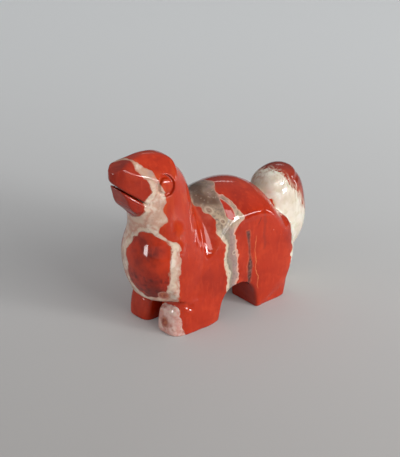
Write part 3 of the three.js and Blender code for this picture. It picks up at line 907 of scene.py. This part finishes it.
def hairlines(tree, across, wide, seed):
    # Healed cracks: thin wandering lines.
    place = addNode(tree, "ShaderNodeTexCoord").outputs["Object"]
    sockets = {0: place, 1: (seed, seed, -seed), 3: (1 / (across * metre),) * 3}
    spaced = addNode(tree, "ShaderNodeMapping", None, sockets).outputs[0]
    cloud = addNode(tree, "ShaderNodeTexNoise", None, {"Vector": spaced, "Scale": 1.0, "Detail": 2.0})
    off = addNode(tree, "ShaderNodeMath", {"operation": "SUBTRACT"}, {0: cloud.outputs[0], 1: 0.5})
    away = addNode(tree, "ShaderNodeMath", {"operation": "ABSOLUTE"}, {0: off.outputs[0]})
    spread = {0: away.outputs[0], 1: 0.5 * wide / across, 2: 0.2 * wide / across}
    return addNode(tree, "ShaderNodeMapRange", soft, spread).outputs[0]


def nearEdge(tree, label, full, gone):
    # 1 up to `full` inside a border, 0 from `gone` on.
    edge = addNode(tree, "ShaderNodeAttribute", {"attribute_name": label})
    return addNode(tree, "ShaderNodeMapRange", soft, {0: edge.outputs["Fac"], 1: gone, 2: full}).outputs[0]


def beyondPlane(tree, axis, gone, full):
    # 0 up to `gone` along an axis, 1 from `full` on, in the carving's own millimetres.
    place = addNode(tree, "ShaderNodeTexCoord")
    split = addNode(tree, "ShaderNodeSeparateXYZ", None, {0: place.outputs["Object"]})
    middle = carvingMiddleX if axis == "X" else 0.0
    spread = {0: split.outputs[axis], 1: (gone - middle) * metre, 2: (full - middle) * metre}
    return addNode(tree, "ShaderNodeMapRange", soft, spread).outputs[0]


def ring(tree, x, z, radius, core=0.05, edge=0.2):
    # A small agate eye on the left flank: a ring round an [x, z] place.
    place = addNode(tree, "ShaderNodeTexCoord").outputs["Object"]
    middle = ((x - carvingMiddleX) * metre, 0, z * metre)
    flattened = addNode(tree, "ShaderNodeVectorMath", {"operation": "MULTIPLY"}, {0: place, 1: (1, 0, 1)})
    ends = {0: flattened.outputs[0], 1: middle}
    away = addNode(tree, "ShaderNodeVectorMath", {"operation": "DISTANCE"}, ends).outputs["Value"]
    off = addNode(tree, "ShaderNodeMath", {"operation": "SUBTRACT"}, {0: away, 1: radius * metre})
    gap = addNode(tree, "ShaderNodeMath", {"operation": "ABSOLUTE"}, {0: off.outputs[0]})
    spread = {0: gap.outputs[0], 1: edge * metre, 2: core * metre}
    return addNode(tree, "ShaderNodeMapRange", soft, spread).outputs[0]


def flankLine(tree, top, bottom, wide, seed):
    # A fine vein down the left flank between two [x, z] places, faded out at both ends.
    place = addNode(tree, "ShaderNodeTexCoord")
    split = addNode(tree, "ShaderNodeSeparateXYZ", None, {0: place.outputs["Object"]})
    lean = (top[0] - bottom[0]) / (top[1] - bottom[1])
    start = (bottom[0] - carvingMiddleX - bottom[1] * lean) * metre
    straight = {0: split.outputs["Z"], 1: lean, 2: start}
    fall = addNode(tree, "ShaderNodeMath", {"operation": "MULTIPLY_ADD"}, straight).outputs[0]
    stray = patches(tree, 3.0, 0.2, 0.8, seed)
    wave = addNode(tree, "ShaderNodeMath", {"operation": "MULTIPLY"}, {0: stray, 1: metre}).outputs[0]
    line = addNode(tree, "ShaderNodeMath", {"operation": "ADD"}, {0: fall, 1: wave}).outputs[0]
    ends = {0: split.outputs["X"], 1: line}
    off = addNode(tree, "ShaderNodeMath", {"operation": "SUBTRACT"}, ends).outputs[0]
    away = addNode(tree, "ShaderNodeMath", {"operation": "ABSOLUTE"}, {0: off}).outputs[0]
    spread = {0: away, 1: 0.8 * wide * metre, 2: 0.3 * wide * metre}
    share = addNode(tree, "ShaderNodeMapRange", soft, spread).outputs[0]
    fade = 0.3
    below = beyondPlane(tree, "Z", top[1] + fade, top[1] - fade)
    above = beyondPlane(tree, "Z", bottom[1] - fade, bottom[1] + fade)
    for more in (below, above, beyondPlane(tree, "Y", -3.0, -5.0)):
        share = addNode(tree, "ShaderNodeMath", {"operation": "MULTIPLY"}, {0: share, 1: more}).outputs[0]
    return share


def growthBands(tree, distance, reach, wobble, seed, stops):
    # Layers that grew inwards from a border, coloured by how far in they lie.
    cloud = patches(tree, 1.6, 0.2, 0.8, seed)
    jitter = addNode(tree, "ShaderNodeMath", {"operation": "SUBTRACT"}, {0: cloud, 1: 0.5}).outputs[0]
    moved = {0: jitter, 1: wobble, 2: distance}
    depth = addNode(tree, "ShaderNodeMath", {"operation": "MULTIPLY_ADD"}, moved).outputs[0]
    share = addNode(tree, "ShaderNodeMath", {"operation": "DIVIDE"}, {0: depth, 1: reach}).outputs[0]
    ramp = addNode(tree, "ShaderNodeValToRGB", None, {0: share})
    ramp.color_ramp.interpolation = "EASE"
    for number, (place, colour) in enumerate(stops):
        stop = ramp.color_ramp.elements[number] if number < 2 else ramp.color_ramp.elements.new(place)
        stop.position = place
        stop.color = linear(colour)
    return ramp.outputs[0]


def laid(tree, under, over, *shares):
    # One colour laid over another by the product of the shares.
    share = shares[0]
    for more in shares[1:]:
        share = addNode(tree, "ShaderNodeMath", {"operation": "MULTIPLY"}, {0: share, 1: more}).outputs[0]
    first, second = (linear(colour) if isinstance(colour, str) else colour for colour in (under, over))
    return addNode(tree, "ShaderNodeMix", {"data_type": "RGBA"}, {0: share, 6: first, 7: second}).outputs[2]


def clouded(tree, colour, clouds):
    # Colours laid on in clouds: colour, size, noise level where it starts and is full, seed, strength.
    for over, across, low, high, seed, strength in clouds:
        colour = laid(tree, colour, over, patches(tree, across, low, high, seed), strength)
    return colour


# All the stone was tumbled and then polished on felt to a wet gloss. Quartz has an IOR of 1.54.
# The waves that felt leaves are a few thousandths of a millimetre high. They are drawn deeper
# than that, so that they show in the highlights.
polish = {
    "ior": 1.54,
    "roughness": 0.05,
    "dulled": 0.09,
    "dulledAcross": 2.4,
    "waveHeight": 0.010,
    "waveAcross": 3.4,
}


def polishedStone(name, paint, glow=0.0, glowDepth=0.6):
    # A mineral's colours under a hard gloss. Quartz lets a little light in, jasper none.
    material = bpy.data.materials.new(name)
    material.use_nodes = True
    tree = material.node_tree
    shader = tree.nodes["Principled BSDF"]
    tree.links.new(paint(tree), shader.inputs["Base Color"])
    shader.inputs["IOR"].default_value = polish["ior"]
    worn = patches(tree, polish["dulledAcross"], 0.52, 0.75, 9)
    dull = {0: worn, 3: polish["roughness"], 4: polish["dulled"]}
    tree.links.new(addNode(tree, "ShaderNodeMapRange", None, dull).outputs[0], shader.inputs["Roughness"])
    height = patches(tree, polish["waveAcross"], 0.1, 0.9, 5, detail=1.0)
    waves = {"Strength": 1.0, "Distance": polish["waveHeight"] * metre, "Height": height}
    tree.links.new(addNode(tree, "ShaderNodeBump", None, waves).outputs[0], shader.inputs["Normal"])
    shader.inputs["Subsurface Weight"].default_value = glow
    shader.inputs["Subsurface Scale"].default_value = glowDepth * metre
    return material


# Opaque red jasper, coloured by iron: a deep even red with darker clouds, orange streaks and
# flecks, and a thin pale edge where it meets a vein. Its grains are far under 0.05 mm, too fine
# to show, so its finest clouds are drawn 0.7 mm across.
jasper = {
    "tones": {
        "main": {"body": "b42c0a", "dark": "961f06", "bright": "c83c17", "edge": "cf7048"},
        "snout": {"body": "a4290f", "dark": "861b07", "bright": "b83a1c", "edge": "a85a42"},
        "jaw": {"body": "9c240e", "dark": "7c1806", "bright": "b03518", "edge": "a3543c"},
        "chest": {"body": "a4260f", "dark": "6c1909", "bright": "c53413", "edge": "b1674e"},
        "lens": {"body": "b42a12", "dark": "982011", "bright": "c43a1c", "edge": "cf8a72"},
        "tip": {"body": "962c18", "dark": "7a2110", "bright": "ad4228", "edge": "b07a60"},
    },
    "clouds": (
        ("dark", 7.0, 0.45, 0.75, 1, 0.8), ("bright", 3.2, 0.50, 0.75, 2, 0.7),
        ("dark", 1.2, 0.54, 0.72, 3, 0.35),
    ),
    "fleck": {"colour": "4a130c", "apart": 2.3, "across": 0.24},
}


def redJasper(kind, extra=None):
    tones, fleck = jasper["tones"][kind], jasper["fleck"]

    def paint(tree):
        clouds = [(tones[tone], *cloud) for tone, *cloud in jasper["clouds"]]
        colour = clouded(tree, tones["body"], clouds)
        finest = patches(tree, 0.7, 0.52, 0.70, 4, stretch=(1, 1, 0.25))
        colour = laid(tree, colour, tones["bright"], finest, 0.4)
        colour = laid(tree, colour, fleck["colour"], specks(tree, fleck["apart"], fleck["across"], 7), 0.45)
        broken = patches(tree, 1.2, 0.44, 0.62, 8)
        colour = laid(tree, colour, tones["edge"], nearEdge(tree, "rim", 0.02, 0.22), broken, 0.6)
        return extra(tree, colour) if extra else colour

    return paint


def rearMarks(tree, colour):
    # The hindquarter has an orange thread down the flank, dark dashes, and pink specks over the upper rear
    # thigh that also paint a pinkish reflection there.
    colour = laid(tree, colour, "d2713f", flankLine(tree, (6.0, 16.5), (6.5, 4.5), 0.16, 21), 0.8)
    colour = laid(tree, colour, "5e1c12", flankLine(tree, (7.6, 20.2), (6.9, 18.9), 0.35, 22), 0.6)
    colour = laid(tree, colour, "8f2c1b", flankLine(tree, (8.8, 21.5), (8.2, 13.0), 0.7, 23), 0.5)
    rear = beyondPlane(tree, "X", 8.0, 9.5)
    above, below = beyondPlane(tree, "Z", 14.0, 16.5), beyondPlane(tree, "Z", 23.0, 21.5)
    # Pink specks over the upper rear thigh, which here also paint a pinkish reflection.
    pinkSpecksAndSheen = (specks(tree, 0.9, 0.24, 24), rear, above, below, patches(tree, 2.0, 0.45, 0.6, 25))
    return laid(tree, colour, "e3a58e", *pinkSpecksAndSheen)


def shoulderMarks(tree, colour):
    # Orange growth streaks run down the neck behind the eye. Just in front of the saddle the upper shoulder
    # is painted paler pink, a painted reflection.
    streaks = patches(tree, 2.2, 0.50, 0.70, 31, stretch=(1, 1, 0.12))
    colour = laid(tree, colour, "c8491c", streaks, beyondPlane(tree, "Z", 19.0, 24.0), 0.6)
    # Painted reflection: a pale pink laid over the upper shoulder in front of the saddle.
    shoulderSheen = (beyondPlane(tree, "X", -6.0, -3.0), beyondPlane(tree, "Z", 15.0, 18.5))
    return laid(tree, colour, "d47a60", *shoulderSheen, patches(tree, 3.0, 0.40, 0.70, 32), 0.35)


def chestMarks(tree, colour):
    # The chest fragment is bright at the top and darkens in clots towards its lower left.
    glow, clots, fine = (
        patches(tree, across, low, high, seed)
        for across, low, high, seed in ((4.0, 0.34, 0.60, 35), (2.6, 0.44, 0.62, 36), (0.9, 0.50, 0.66, 37))
    )
    colour = laid(tree, colour, "d03810", beyondPlane(tree, "Z", 11.5, 16.5), glow, 0.8)
    colour = laid(tree, colour, "6a1708", beyondPlane(tree, "Z", 17.5, 12.5), clots, 0.65)
    return laid(tree, colour, "501006", beyondPlane(tree, "Z", 16.0, 12.0), fine, 0.55)


def tipMarks(tree, colour):
    # Cream fibres of the tail run up into its red tip.
    fibres = patches(tree, 0.55, 0.42, 0.60, 41, stretch=(1, 1, 0.2), detail=1.0)
    return laid(tree, colour, "d8bda6", nearEdge(tree, "rim", 0.05, 1.5), fibres, 0.8)


# Vein quartz, milky to pink, that grew inwards from the red fragments in soft layers.
veinQuartz = {
    "reach": 3.2,
    "layers": (
        (0.0, "a8533e"), (0.05, "e8d3be"), (0.28, "e0c8b2"), (0.42, "cf9d89"), (0.54, "dabba5"),
        (0.76, "cea48f"), (1.0, "d8b59e"),
    ),
    "clouds": (
        ("bd9a86", 4.2, 0.50, 0.70, 52, 0.5), ("c27868", 3.2, 0.50, 0.68, 54, 0.65),
        ("a58a84", 2.6, 0.55, 0.70, 53, 0.5), ("efe3d3", 1.8, 0.52, 0.70, 55, 0.6),
        ("ad8674", 0.7, 0.52, 0.70, 56, 0.35),
    ),
}


def pinkQuartz(tree):
    distance = addNode(tree, "ShaderNodeAttribute", {"attribute_name": "faceInner"}).outputs["Fac"]
    colour = growthBands(tree, distance, veinQuartz["reach"], 0.7, 51, veinQuartz["layers"])
    colour = laid(tree, colour, "b39278", beyondPlane(tree, "Z", 33.5, 35.0), 0.75)
    throat = patches(tree, 5.0, 0.35, 0.60, 59)
    colour = laid(tree, colour, "cf9d88", beyondPlane(tree, "Z", 21.0, 26.0), throat, 0.35)
    colour = clouded(tree, colour, veinQuartz["clouds"])
    colour = laid(tree, colour, "b5644c", nearEdge(tree, "rim", 0.0, 0.55), 0.35)
    broken = patches(tree, 0.9, 0.40, 0.62, 58)
    return laid(tree, colour, "b5644c", nearEdge(tree, "rim", 0.0, 0.18), broken, 0.6)


# Translucent rose quartz with milky clouds, and a painted highlight along the top of the toe.
toeClouds = (("b57567", 1.3, 0.54, 0.68, 62, 0.6), ("eadad0", 0.9, 0.52, 0.70, 63, 0.4))


def roseQuartz(tree):
    colour = laid(tree, "d0978b", "e4c0b4", patches(tree, 2.2, 0.42, 0.66, 61))
    colour = clouded(tree, colour, toeClouds)
    ledgeHighlight, stain = patches(tree, 1.0, 0.40, 0.60, 64), patches(tree, 1.0, 0.45, 0.60, 65)
    # Painted highlight: a whitish band along the top of the toe, where its ledge catches the light.
    colour = laid(tree, colour, "e9d5c6", beyondPlane(tree, "Z", 4.2, 5.2), ledgeHighlight, 0.7)
    return laid(tree, colour, "8e4336", nearEdge(tree, "rim", 0.0, 0.35), stain, 0.6)


# Waxy grey chalcedony: cream along its front, grey-green then mauve towards the rear, with a
# smoky heart on the back and small agate eyes. Its round crystals are under 0.2 mm, too fine
# to show, so they are drawn 0.4 mm across.
chalcedony = {
    "layers": (
        (0.0, "d9b095"), (0.08, "d8c7ae"), (0.22, "cbbca4"), (0.32, "8f8272"), (0.45, "978678"),
        (0.60, "9a7f77"), (0.86, "a88d84"), (0.97, "d8a592"),
    ),
    "eyes": ((-2.3, 23.6, 0.55), (-3.0, 21.9, 0.40), (-0.9, 21.6, 0.45), (0.9, 14.6, 0.40)),  # x, z, radius
    "crystals": {"colour": "c9b7a3", "apart": 0.62, "across": 0.40},
    "onBack": (("Z", 23.4, 25.0), ("X", -5.6, -4.4), ("X", 0.8, -0.8)),  # axis, gone, full
    "atBend": (("X", -4.0, -2.6), ("Z", 19.6, 20.8), ("Z", 24.8, 23.6)),
}


def smokyChalcedony(tree):
    inner, outer = (
        addNode(tree, "ShaderNodeAttribute", {"attribute_name": label}).outputs["Fac"]
        for label in ("saddleInner", "saddleOuter")
    )
    both = addNode(tree, "ShaderNodeMath", {"operation": "ADD"}, {0: inner, 1: outer}).outputs[0]
    share = addNode(tree, "ShaderNodeMath", {"operation": "DIVIDE"}, {0: inner, 1: both}).outputs[0]
    colour = growthBands(tree, share, 1.0, 0.16, 71, chalcedony["layers"])
    high = beyondPlane(tree, "Z", 19.5, 23.0)
    colour = laid(tree, colour, "8f765f", high, patches(tree, 2.2, 0.38, 0.62, 72), 0.75)
    colour = laid(tree, colour, "b3957c", high, patches(tree, 1.6, 0.50, 0.68, 73), 0.6)
    onBack = [beyondPlane(tree, *ends) for ends in chalcedony["onBack"]]
    colour = laid(tree, colour, "634736", *onBack, patches(tree, 3.4, 0.30, 0.55, 74), 0.85)
    bend = [beyondPlane(tree, *ends) for ends in chalcedony["atBend"]]
    colour = laid(tree, colour, "b9a288", *bend, patches(tree, 3.0, 0.30, 0.50, 80), 0.85)
    colour = laid(tree, colour, "7d6a5b", *bend, patches(tree, 0.7, 0.50, 0.64, 67), 0.6)
    crystals = chalcedony["crystals"]
    spots = specks(tree, crystals["apart"], crystals["across"], 75)
    colour = laid(tree, colour, crystals["colour"], spots, patches(tree, 1.6, 0.44, 0.62, 76), 0.4)
    colour = laid(tree, colour, "6f5c55", patches(tree, 0.6, 0.52, 0.68, 77), 0.45)
    for x, z, radius in chalcedony["eyes"]:
        colour = laid(tree, colour, "d3c0a9", ring(tree, x, z, radius), 0.55)
        colour = laid(tree, colour, "8a5f50", ring(tree, x, z, radius * 0.4), 0.5)
    broken = patches(tree, 1.2, 0.34, 0.60, 79)
    return laid(tree, colour, "dfa991", nearEdge(tree, "rim", 0.04, 0.22), broken, 0.7)


# Greenish white chalcedony with fibres that rise towards the red tip. The fibres are about
# 0.1 mm thick, too fine to show, so they are drawn 0.5 mm thick.
tailClouds = (("f0ece2", 3.0, 0.48, 0.64, 82, 0.8), ("cfc4a8", 1.6, 0.54, 0.68, 83, 0.5))


def creamChalcedony(tree):
    colour = laid(tree, "e8dfd0", "d8cbb8", patches(tree, 5.0, 0.45, 0.66, 81))
    colour = clouded(tree, colour, tailClouds)
    fibres = patches(tree, 0.5, 0.44, 0.62, 84, stretch=(1, 1, 0.18), detail=1.0)
    colour = laid(tree, colour, "b4674c", nearEdge(tree, "tailOuter", 0.02, 0.9), fibres, 0.75)
    colour = laid(tree, colour, "b9a590", nearEdge(tree, "tailOuter", 0.2, 3.6), fibres, 0.35)
    # Painted shade: the tail's upper front, along the rounded rump edge, is laid darker brownish-grey.
    shadedUpperFront = (beyondPlane(tree, "X", 17.2, 14.8), beyondPlane(tree, "Z", 18.5, 21.5))
    colour = laid(tree, colour, "a5917e", *shadedUpperFront, 0.55)
    broken = patches(tree, 1.4, 0.38, 0.60, 85)
    colour = laid(tree, colour, "c99b6e", nearEdge(tree, "tailInner", 0.05, 0.5), broken, 0.7)
    return laid(tree, colour, "b7a58e", hairlines(tree, 6.0, 0.10, 86), 0.25)


def haematiteQuartz(tree):
    # Quartz darkened by iron ore, which fades into the red jasper at both sides.
    colour = laid(tree, "6e3b31", "502820", patches(tree, 1.5, 0.44, 0.60, 91))
    colour = laid(tree, colour, "8e5f53", patches(tree, 0.8, 0.52, 0.66, 92), 0.6)
    return laid(tree, colour, "a83a25", nearEdge(tree, "rim", 0.02, 0.42), 0.95)


def brownJasper(tree):
    # Small chips of brown jasper with a pale rim.
    colour = laid(tree, "a25241", "8a3f2f", patches(tree, 0.9, 0.45, 0.65, 95))
    colour = laid(tree, colour, "c9784f", patches(tree, 0.8, 0.50, 0.66, 96), 0.6)
    return laid(tree, colour, "c08a78", nearEdge(tree, "rim", 0.0, 0.5), 0.85)


stones = {  # its paint, and for quartz how much light it lets in and how deep, in millimetres
    "polishedRedJasper": (redJasper("main", shoulderMarks),),
    "polishedRedJasperRear": (redJasper("main", rearMarks),),
    "polishedSnoutJasper": (redJasper("snout"),),
    "polishedJawJasper": (redJasper("jaw"),),
    "polishedChestJasper": (redJasper("chest", chestMarks),),
    "polishedLensJasper": (redJasper("lens"),),
    "polishedTipJasper": (redJasper("tip", tipMarks),),
    "polishedPinkQuartz": (pinkQuartz, 0.12, 0.5),
    "polishedRoseQuartz": (roseQuartz, 0.15, 0.6),
    "polishedSmokyChalcedony": (smokyChalcedony, 0.12, 0.5),
    "polishedCreamChalcedony": (creamChalcedony, 0.15, 0.6),
    "polishedHaematiteQuartz": (haematiteQuartz,),
    "polishedBrownJasper": (brownJasper,),
}
stoneOf = {
    "neck_and_shoulder_jasper": "polishedRedJasper",
    "snout_jasper": "polishedSnoutJasper",
    "lower_jaw_jasper": "polishedJawJasper",
    "face_and_chest_vein": "polishedPinkQuartz",
    "chest_jasper": "polishedChestJasper",
    "chest_chip": "polishedBrownJasper",
    "toe_quartz": "polishedRoseQuartz",
    "toe_chip": "polishedBrownJasper",
    "saddle_vein": "polishedSmokyChalcedony",
    "saddle_lens_jasper": "polishedLensJasper",
    "flank_vein": "polishedHaematiteQuartz",
    "hindquarter_jasper": "polishedRedJasperRear",
    "tail_vein": "polishedCreamChalcedony",
    "tail_tip_jasper": "polishedTipJasper",
}
materials = {name: polishedStone(name, *recipe) for name, recipe in stones.items()}
for name, piece in pieces.items():
    piece.data.materials.append(materials[stoneOf[name]])
print("stone coloured", len(materials))


# A sheet of matt grey card lies under the carving and runs far back. Its colour is painted light: darker at
# the front and paler with the distance, as the light falls on it, and the camera sees it with a faint painted
# glow.
greyCard = {
    "front": "aeaba8",
    "back": "f2f5f5",
    "frontPlace": -0.10,
    "backPlace": 0.20,
    "roughness": 0.85,
    "glow": 0.05,
    "reach": 3.0,
}


def layCard():
    mesh = bpy.data.meshes.new("card")
    reach = greyCard["reach"]
    corners = [(-reach, -reach, 0), (reach, -reach, 0), (reach, reach, 0), (-reach, reach, 0)]
    mesh.from_pydata(corners, [], [(0, 1, 2, 3)])
    card = bpy.data.objects.new("card", mesh)
    bpy.context.scene.collection.objects.link(card)
    material = bpy.data.materials.new("mattGreyCard")
    material.use_nodes = True
    tree = material.node_tree
    shader = tree.nodes["Principled BSDF"]
    place = addNode(tree, "ShaderNodeTexCoord").outputs["Object"]
    turn = (0, 0, math.radians(-cameraPlace["azimuth"]))
    turned = addNode(tree, "ShaderNodeMapping", None, {0: place, 2: turn})
    split = addNode(tree, "ShaderNodeSeparateXYZ", None, {0: turned.outputs[0]})
    spread = {0: split.outputs["Y"], 1: greyCard["frontPlace"], 2: greyCard["backPlace"]}
    share = addNode(tree, "ShaderNodeMapRange", soft, spread).outputs[0]
    # Painted light: the card's colour runs from darker in front to paler far back.
    tree.links.new(laid(tree, greyCard["front"], greyCard["back"], share), shader.inputs["Base Color"])
    # Painted glow: the card glows faintly, only where the camera sees it.
    seen = addNode(tree, "ShaderNodeLightPath").outputs["Is Camera Ray"]
    glow = addNode(tree, "ShaderNodeMath", {"operation": "MULTIPLY"}, {0: seen, 1: greyCard["glow"]})
    shader.inputs["Emission Color"].default_value = (1, 1, 1, 1)
    tree.links.new(glow.outputs[0], shader.inputs["Emission Strength"])
    shader.inputs["Roughness"].default_value = greyCard["roughness"]
    mesh.materials.append(material)


layCard()


# A softbox and a long strip at the front right glint along the ridge. Two windows fill the
# front and the far left. Two thin strips edge the tail and the right side.
lampAim = Vector((0, 0, 0.018))
lamps = {
    "softbox": {"toward": (0.38, -0.90, 0.21), "distance": 0.35, "size": (0.075, 0.075), "power": 0.45},
    "strip": {"toward": (0.33, -0.92, 0.21), "distance": 0.37, "size": (0.34, 0.02), "power": 0.24},
    "rearStrip": {"toward": (0.67, 0.53, 0.52), "distance": 0.40, "size": (0.10, 0.012), "power": 0.02},
    "farWindow": {"toward": (-0.97, 0.22, 0.06), "distance": 0.40, "size": (0.07, 0.10), "power": 0.24},
    "bigWindow": {"toward": (0.07, -0.86, 0.50), "distance": 0.50, "size": (0.30, 0.22), "power": 0.9},
    "rightStrip": {"toward": (0.90, -0.42, 0.06), "distance": 0.35, "size": (0.015, 0.10), "power": 0.06},
}


def hangLamp(name, lamp):
    light = bpy.data.lights.new(name, "AREA")
    light.shape = "RECTANGLE"
    light.size, light.size_y = lamp["size"]
    light.energy = lamp["power"]
    hung = bpy.data.objects.new(name, light)
    bpy.context.scene.collection.objects.link(hung)
    toward = Vector(lamp["toward"]).normalized()
    hung.location = lampAim + toward * lamp["distance"]
    hung.rotation_mode = "QUATERNION"
    hung.rotation_quaternion = (-toward).to_track_quat("-Z", "Y")


for name, lamp in lamps.items():
    hangLamp(name, lamp)


# The room is dim at the height of the table, paler overhead and palest to the left.
room = {
    "low": "7d7c7b",
    "high": "c8c8ca",
    "left": "e0e0e2",
    "highBetween": (0.05, 0.75),
    "leftBetween": (-0.1, -0.9),
    "strength": 0.62,
}


def lightRoom():
    world = bpy.data.worlds.new("room")
    bpy.context.scene.world = world
    world.use_nodes = True
    tree = world.node_tree
    place = addNode(tree, "ShaderNodeTexCoord")
    split = addNode(tree, "ShaderNodeSeparateXYZ", None, {0: place.outputs["Generated"]})
    above, leftward = (
        addNode(tree, "ShaderNodeMapRange", soft, {0: split.outputs[axis], 1: gone, 2: full}).outputs[0]
        for axis, (gone, full) in (("Z", room["highBetween"]), ("X", room["leftBetween"]))
    )
    colour = laid(tree, room["low"], room["high"], above)
    colour = laid(tree, colour, room["left"], leftward)
    background = tree.nodes["Background"]
    tree.links.new(colour, background.inputs["Color"])
    background.inputs["Strength"].default_value = room["strength"]


lightRoom()
bpy.context.scene.view_settings.view_transform = "Standard"
print("lit")
